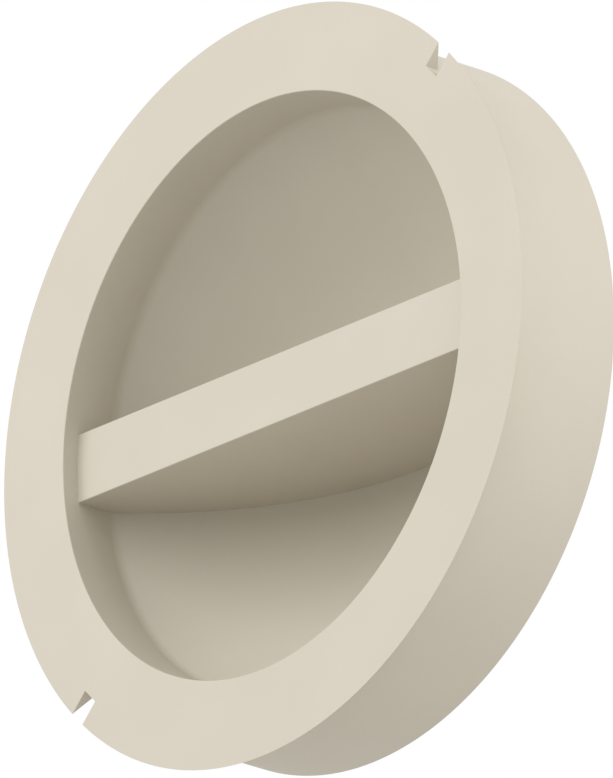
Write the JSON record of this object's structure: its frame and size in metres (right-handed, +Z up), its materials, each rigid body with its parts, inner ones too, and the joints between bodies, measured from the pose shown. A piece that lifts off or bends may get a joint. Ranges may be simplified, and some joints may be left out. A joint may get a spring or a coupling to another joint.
{
  "type": "fire sprinkler head",
  "caption": "Concealed wall fire sprinkler head with its dished pull-off cap fitted: a finger bar in the recess, and a yoke, bulb, valve and sliding deflector behind.",
  "frame": {"origin": "on the head's axis, in the plane where the cap's lip meets its skirt", "axes": "+Y along the head's axis into the wall, +X to the right seen from the room, +Z up; the cap faces -Y"},
  "size_m": [0.086, 0.0404, 0.086],
  "materials": {
    "cap_plastic": "beige moulded ABS, fine spark texture",
    "spring_steel": "blued spring steel strip",
    "plated_steel": "zinc-plated drawn steel",
    "brass": "machined forged brass",
    "bronze": "stamped phosphor bronze",
    "stainless": "stainless steel, as drawn",
    "pad_rubber": "black rubber",
    "bulb_glass": "clear glass",
    "bulb_fluid": "red liquid"
  },
  "bodies": {
    "head": {"frame_body": "brass", "support_cup": "plated_steel", "cup_rivets": "plated_steel", "guide_pin_left": "stainless", "guide_pin_right": "stainless", "seal_washer": "stainless", "pip_cap": "brass", "glass_bulb": "bulb_glass", "bulb_liquid": "bulb_fluid", "load_screw": "brass"},
    "deflector": {"deflector_plate": "bronze", "guide_eyelet_left": "bronze", "guide_eyelet_right": "bronze"},
    "cap": {"face_shell": "cap_plastic", "recess_bowl": "cap_plastic", "grip_bar": "cap_plastic", "retaining_clip_1": "spring_steel", "retaining_clip_2": "spring_steel", "retaining_clip_3": "spring_steel", "retaining_clip_4": "spring_steel", "clip_rivets": "plated_steel", "bumper_pad_upper": "pad_rubber", "bumper_pad_lower": "pad_rubber"}
  },
  "joints": [
    {"name": "cap_pull", "type": "slide", "parent": "head", "child": "cap", "axis": [0, -1, 0], "range_m": [0, 0.045]},
    {"name": "deflector_drop", "type": "slide", "parent": "head", "child": "deflector", "axis": [0, -1, 0], "range_m": [0, 0.0196]}
  ],
  "couplings": [
    {"joint": "deflector_drop", "follows": "cap_pull", "ratio": 0.4355}
  ]
}
